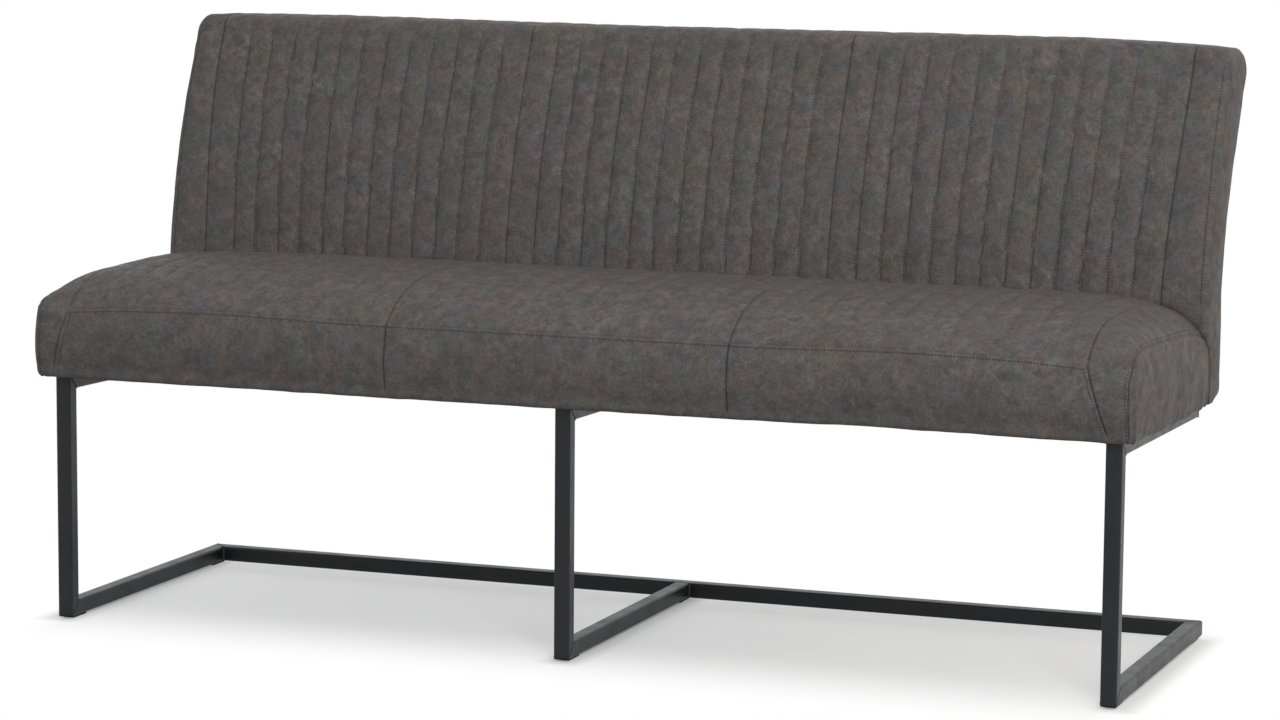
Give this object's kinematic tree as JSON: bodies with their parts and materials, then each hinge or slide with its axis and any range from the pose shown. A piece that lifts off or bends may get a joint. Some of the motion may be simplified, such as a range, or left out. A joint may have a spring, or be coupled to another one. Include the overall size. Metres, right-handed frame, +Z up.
{
  "type": "dining sofa",
  "caption": "Upholstered dining sofa with channel-stitched leather seat and curved back on a cantilever sled frame of square black steel tube.",
  "frame": {"origin": "on the floor, under the middle of the sofa's footprint", "axes": "+X along the width to the right as seen from the front, -Y towards the front where people sit down, +Z up"},
  "size_m": [1.7, 0.6784, 0.9004],
  "materials": {
    "black_steel": "black powder coat, satin",
    "black_plastic": "black, matte",
    "timber": "bare softwood",
    "hardboard": "bare hardboard",
    "webbing": "woven elastic",
    "foam": "open-cell foam",
    "grey_leather": "mottled grey-brown, matte, wadded and stitched",
    "dust_cloth": "black non-woven",
    "zinc_steel": "zinc plated"
  },
  "bodies": {
    "root": {"back_cover": "grey_leather", "back_foam": "foam", "back_front_panel": "hardboard", "back_rear_panel": "hardboard", "back_rib_end_left": "timber", "back_rib_end_right": "timber", "back_rib_inner_left": "timber", "back_rib_inner_right": "timber", "back_top_rail": "timber", "dust_cover": "dust_cloth", "floor_glide_front_left": "black_plastic", "floor_glide_front_middle": "black_plastic", "floor_glide_front_right": "black_plastic", "floor_glide_rear_left": "black_plastic", "floor_glide_rear_middle": "black_plastic", "floor_glide_rear_right": "black_plastic", "floor_runner_left": "black_steel", "floor_runner_middle": "black_steel", "floor_runner_right": "black_steel", "front_post_left": "black_steel", "front_post_middle": "black_steel", "front_post_right": "black_steel", "rear_floor_rail": "black_steel", "rib_screw_end_left": "zinc_steel", "rib_screw_end_right": "zinc_steel", "rib_screw_inner_left": "zinc_steel", "rib_screw_inner_right": "zinc_steel", "runner_end_cap_left": "black_plastic", "runner_end_cap_middle": "black_plastic", "runner_end_cap_right": "black_plastic", "seat_bolt_front_left": "zinc_steel", "seat_bolt_front_middle": "zinc_steel", "seat_bolt_front_right": "zinc_steel", "seat_bolt_rear_left": "zinc_steel", "seat_bolt_rear_middle": "zinc_steel", "seat_bolt_rear_right": "zinc_steel", "seat_cover": "grey_leather", "seat_foam": "foam", "seat_front_rail": "timber", "seat_left_rail": "timber", "seat_middle_rail": "timber", "seat_rear_rail": "timber", "seat_right_rail": "timber", "seat_runner_left": "black_steel", "seat_runner_middle": "black_steel", "seat_runner_right": "black_steel", "tee_nut_front_left": "zinc_steel", "tee_nut_front_middle": "zinc_steel", "tee_nut_front_right": "zinc_steel", "tee_nut_rear_left": "zinc_steel", "tee_nut_rear_middle": "zinc_steel", "tee_nut_rear_right": "zinc_steel", "webbing_1": "webbing", "webbing_2": "webbing", "webbing_3": "webbing", "webbing_4": "webbing", "webbing_5": "webbing", "webbing_6": "webbing"}
  },
  "joints": []
}
